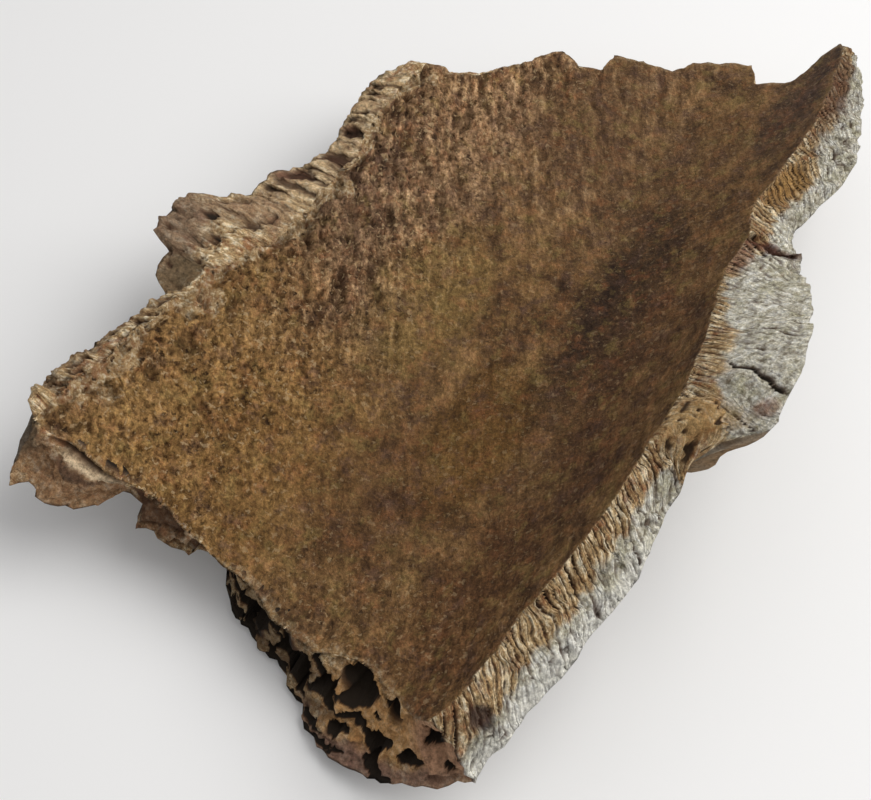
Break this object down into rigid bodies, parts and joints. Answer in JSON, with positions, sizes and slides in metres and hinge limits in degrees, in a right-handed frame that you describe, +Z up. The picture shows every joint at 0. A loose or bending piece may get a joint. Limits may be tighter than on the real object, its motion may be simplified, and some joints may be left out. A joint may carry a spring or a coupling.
{
  "type": "piece of cork bark",
  "caption": "Broken trough of cork oak bark: a smooth hollow inner skin, a thick plated back with fissures, and ragged torn edges all round.",
  "frame": {"origin": "on the floor, under the middle of the piece's box as it lies hollow side up", "axes": "+Z up out of the hollow, +Y along the grain from the near end to the far end, +X across the trunk towards the taller wall"},
  "size_m": [0.348, 0.5194, 0.1335],
  "materials": {
    "cork": "dry matt cork, brown inside, tan on the torn edges and grey on the back"
  },
  "bodies": {
    "root": {"cork_bark": "cork"}
  },
  "joints": []
}
